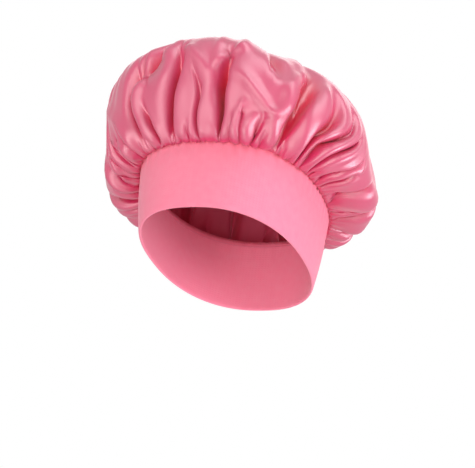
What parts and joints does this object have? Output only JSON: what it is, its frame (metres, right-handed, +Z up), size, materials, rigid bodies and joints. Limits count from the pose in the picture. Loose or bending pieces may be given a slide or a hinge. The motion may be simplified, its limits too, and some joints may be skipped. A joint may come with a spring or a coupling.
{
  "type": "satin bonnet cap",
  "caption": "Gathered satin crown sewn to a wide, folded stretch-knit headband; covers and holds the hair.",
  "frame": {"origin": "middle of the head opening, in the plane of the rim", "axes": "+Z up through the crown, -Y towards the forehead, +X towards the wearer's left"},
  "size_m": [0.2575, 0.2538, 0.1729],
  "materials": {
    "satin": "glossy woven satin, pink",
    "knit": "matte fine jersey knit, lighter pink",
    "thread": "matte spun polyester sewing thread, pink"
  },
  "bodies": {
    "root": {"crown_panel": "satin", "headband": "knit", "overlock_looper_thread": "thread", "seam_needle_thread": "thread", "gathering_thread": "thread", "back_seam_thread": "thread"}
  },
  "joints": []
}
